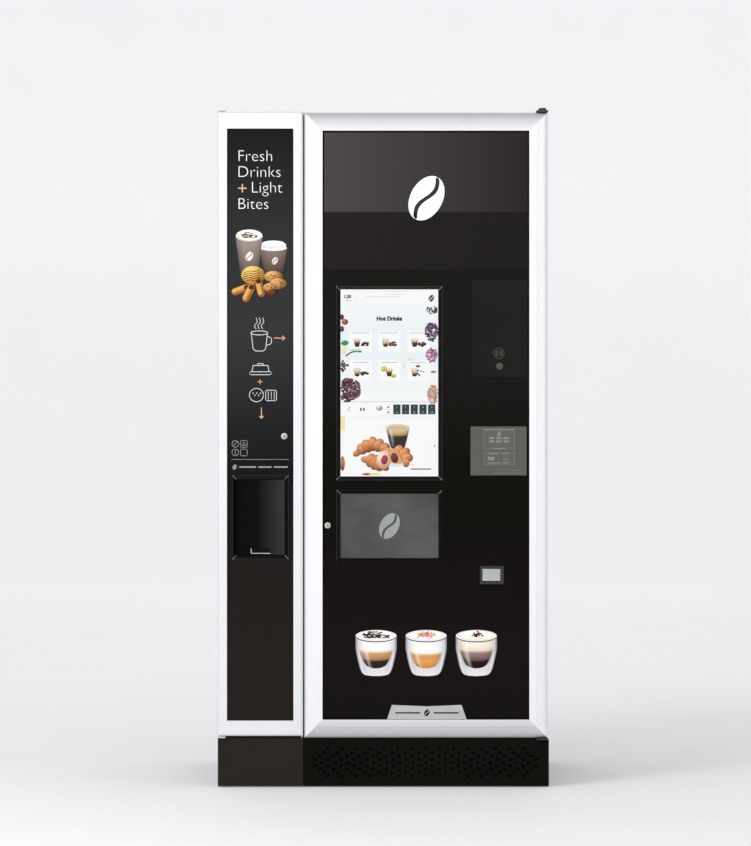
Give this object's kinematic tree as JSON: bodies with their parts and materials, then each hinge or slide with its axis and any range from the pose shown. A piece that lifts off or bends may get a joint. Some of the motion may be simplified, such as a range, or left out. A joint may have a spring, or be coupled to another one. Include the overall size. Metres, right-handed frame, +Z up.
{
  "type": "hot drinks vending machine",
  "caption": "Free-standing hot drinks vending machine: touchscreen door with sliding cup window and coin unit, narrow snack and lid module on the left, pierced plinth.",
  "frame": {"origin": "centre of the footprint, on the floor", "axes": "+Z up, the front faces -Y, +X to the right of someone facing the machine"},
  "size_m": [0.896, 0.74, 1.837],
  "materials": {
    "steel_grey": "satin powder coat",
    "door_white": "satin silver-white powder coat",
    "panel_black": "gloss",
    "header_smoke": "gloss, slightly see-through",
    "bezel_black": "gloss",
    "screen": "gloss",
    "window_smoke": "smoke tint",
    "pay_black": "satin",
    "metal_trim": "satin",
    "chrome_trim": "polished",
    "plate_grey": "satin",
    "badge_grey": "satin",
    "plinth_black": "satin",
    "plinth_brown": "satin",
    "zinc_steel": "galvanised",
    "black_plastic": "matt",
    "white_plastic": "matt",
    "grey_plastic": "matt",
    "clear_plastic": "clear",
    "boiler_brass": "satin",
    "rubber_black": "matt"
  },
  "bodies": {
    "cabinet": {"main_side_walls": "steel_grey", "main_back_wall": "zinc_steel", "main_roof": "steel_grey", "main_floor": "zinc_steel", "module_shell": "steel_grey", "base_grille": "plinth_black", "base_frame": "zinc_steel", "module_plinth": "plinth_brown", "levelling_feet": "rubber_black", "hinge_brackets": "black_plastic", "strike_plates": "zinc_steel", "equipment_shelf": "zinc_steel", "bean_hopper": "clear_plastic", "coffee_grinder": "black_plastic", "brew_unit": "grey_plastic", "boiler": "boiler_brass", "water_pump": "metal_trim", "ingredient_canisters": "clear_plastic", "container_lids": "black_plastic", "mixer_bowls": "white_plastic", "drive_motors": "black_plastic", "cup_station": "metal_trim", "waste_bucket": "grey_plastic", "power_supply_box": "zinc_steel", "cup_dispenser_frame": "white_plastic", "rear_inlets": "chrome_trim", "snack_shelf": "zinc_steel", "lid_tube": "clear_plastic", "delivery_chute": "black_plastic"},
    "main_door": {"main_door_frame": "door_white", "main_door_panel": "panel_black", "header_panel": "header_smoke", "touchscreen": "screen", "touchscreen_bezel": "bezel_black", "pickup_bezel": "bezel_black", "payment_panel": "pay_black", "coin_slot": "metal_trim", "card_reader": "plate_grey", "coin_return_cup": "black_plastic", "frame_badge": "badge_grey", "coin_changer": "grey_plastic", "door_liner": "zinc_steel", "cup_door_motor": "black_plastic"},
    "cup_door": {"cup_door_window": "window_smoke", "cup_door_rack": "white_plastic"},
    "cup_door_gear": {"cup_door_pinion": "white_plastic"},
    "coin_flap": {"coin_return_flap": "metal_trim"},
    "reject_key": {"reject_button": "chrome_trim"},
    "main_lock": {"main_lock_cylinder": "chrome_trim"},
    "side_door": {"side_door_frame": "door_white", "side_door_panel": "panel_black", "hatch_bezel": "bezel_black"},
    "hatch": {"hatch_flap": "panel_black"},
    "side_lock": {"side_lock_cylinder": "chrome_trim"},
    "turret": {"cup_turret": "clear_plastic"},
    "spiral": {"snack_spiral": "metal_trim"},
    "auger_left": {"auger_1": "white_plastic"},
    "auger_mid": {"auger_2": "white_plastic"},
    "auger_right": {"auger_3": "white_plastic"},
    "fan": {"fan_rotor": "black_plastic"}
  },
  "joints": [
    {"name": "main_door_hinge", "type": "hinge", "parent": "cabinet", "child": "main_door", "pos_m": [0.4305, -0.356, 0.98], "axis": [0, 0, 1], "range_deg": [0, 110]},
    {"name": "side_door_hinge", "type": "hinge", "parent": "cabinet", "child": "side_door", "pos_m": [-0.437, -0.356, 0.98], "axis": [0, 0, -1], "range_deg": [0, 110]},
    {"name": "cup_door_slide", "type": "slide", "parent": "main_door", "child": "cup_door", "axis": [0, 0, -1], "range_m": [0, 0.172]},
    {"name": "cup_pinion_spin", "type": "hinge", "parent": "main_door", "child": "cup_door_gear", "pos_m": [0.166, -0.347, 0.618], "axis": [0, -1, 0], "range_deg": [-5, 830]},
    {"name": "coin_flap_swing", "type": "hinge", "parent": "main_door", "child": "coin_flap", "pos_m": [0.292, -0.358, 0.5906], "axis": [1, 0, 0], "range_deg": [0, 50]},
    {"name": "reject_press", "type": "slide", "parent": "main_door", "child": "reject_key", "axis": [0, 1, 0], "range_m": [0, 0.004], "stiffness_N_per_m": 300},
    {"name": "main_lock_turn", "type": "hinge", "parent": "main_door", "child": "main_lock", "pos_m": [-0.1506, -0.34, 0.709], "axis": [0, 1, 0], "range_deg": [0, 90]},
    {"name": "hatch_swing", "type": "hinge", "parent": "side_door", "child": "hatch", "pos_m": [-0.3335, -0.3535, 0.8295], "axis": [1, 0, 0], "range_deg": [0, 65]},
    {"name": "side_lock_turn", "type": "hinge", "parent": "side_door", "child": "side_lock", "pos_m": [-0.268, -0.34, 0.95], "axis": [0, -1, 0], "range_deg": [0, 90]},
    {"name": "turret_spin", "type": "hinge", "parent": "cabinet", "child": "turret", "pos_m": [-0.07, -0.06, 1.5], "axis": [0, 0, 1], "continuous": true},
    {"name": "spiral_spin", "type": "hinge", "parent": "cabinet", "child": "spiral", "pos_m": [-0.333, 0, 1.31], "axis": [0, 1, 0], "continuous": true},
    {"name": "auger_left_spin", "type": "hinge", "parent": "cabinet", "child": "auger_left", "pos_m": [0.28, 0, 1.445], "axis": [0, 1, 0], "continuous": true},
    {"name": "auger_mid_spin", "type": "hinge", "parent": "cabinet", "child": "auger_mid", "pos_m": [0.34, 0, 1.445], "axis": [0, 1, 0], "continuous": true},
    {"name": "auger_right_spin", "type": "hinge", "parent": "cabinet", "child": "auger_right", "pos_m": [0.4, 0, 1.445], "axis": [0, 1, 0], "continuous": true},
    {"name": "fan_spin", "type": "hinge", "parent": "cabinet", "child": "fan", "pos_m": [0.06, 0.333, 0.42], "axis": [0, 1, 0], "continuous": true}
  ],
  "couplings": [
    {"joint": "cup_pinion_spin", "follows": "cup_door_slide", "rad_per_m": 83.333}
  ]
}
